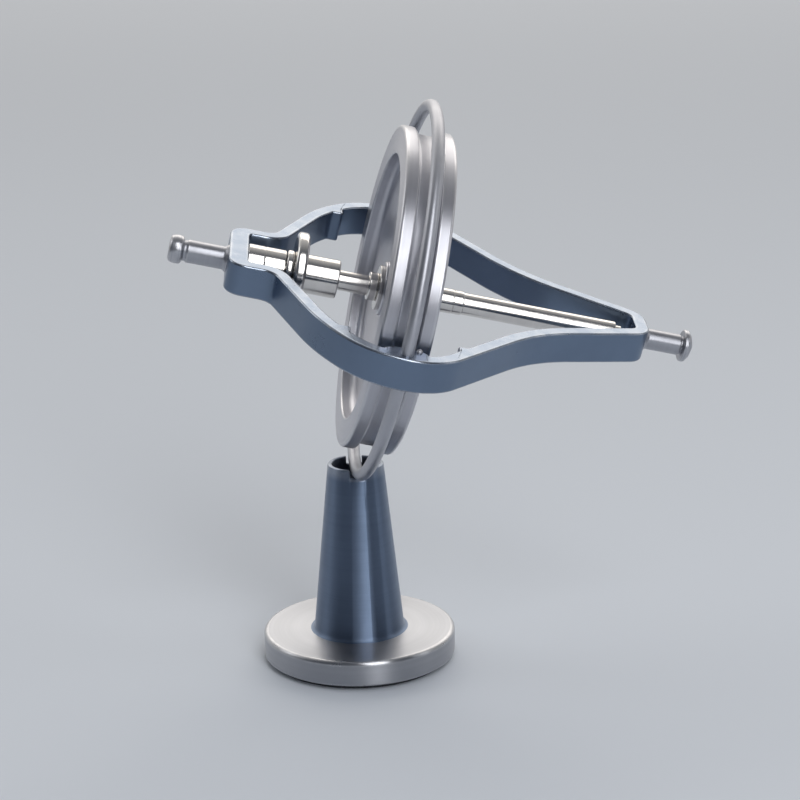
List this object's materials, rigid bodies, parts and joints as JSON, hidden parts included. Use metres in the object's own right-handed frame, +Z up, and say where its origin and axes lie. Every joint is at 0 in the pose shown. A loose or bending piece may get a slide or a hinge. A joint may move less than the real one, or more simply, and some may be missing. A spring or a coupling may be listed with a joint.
{
  "type": "gyroscope on stand",
  "caption": "Metal gyroscope with a grooved flywheel in a pear-shaped frame and round guard ring, balanced by the ring in the notched rim of a hollow tapered stand on a disc base",
  "frame": {"origin": "centre of the foot pad's underside, on the table", "axes": "+Z up; X along the axle's projection on the table, +X towards the low nose end; Y along the two notches of the rim, -Y towards the picture's camera"},
  "size_m": [0.0877, 0.0658, 0.0955],
  "materials": {
    "satin_frame": "satin nickel",
    "satin_ring": "satin nickel",
    "satin_wheel": "fine turned",
    "satin_stand": "fine turned",
    "polished_steel": "polished",
    "bearing_steel": "ground",
    "dark_steel": "blackened",
    "pad_rubber": "matte"
  },
  "bodies": {
    "stand": {"foot_pad": "pad_rubber", "stand_base": "satin_stand", "stand_column": "satin_stand", "column_screw": "dark_steel"},
    "gyro_frame": {"frame_band": "satin_frame", "upper_half_ring": "satin_ring", "lower_half_ring": "satin_ring", "ring_rivets": "satin_ring", "yoke_stub": "satin_frame", "lock_collar": "polished_steel", "bearing_housing": "polished_steel", "bearing_retainer": "dark_steel", "yoke_outer_race": "bearing_steel", "yoke_balls_set": "bearing_steel", "nose_stub": "satin_frame", "nose_outer_race": "bearing_steel", "nose_balls_set": "bearing_steel"},
    "rotor": {"axle": "polished_steel", "flywheel": "satin_wheel", "hub_washers": "polished_steel", "hub_collar": "polished_steel", "nose_spacer": "polished_steel", "winding_sleeve": "polished_steel", "spool_flange": "polished_steel", "neck_ring": "polished_steel", "yoke_inner_race": "bearing_steel", "nose_inner_race": "bearing_steel"}
  },
  "joints": [
    {"name": "gyroscope_lift", "type": "slide", "parent": "stand", "child": "gyro_frame", "axis": [0, 0, 1], "range_m": [0, 0.05]},
    {"name": "flywheel_spin", "type": "hinge", "parent": "gyro_frame", "child": "rotor", "pos_m": [0.00701, 0, 0.06429], "axis": [0.974, 0, -0.2267], "continuous": true}
  ]
}
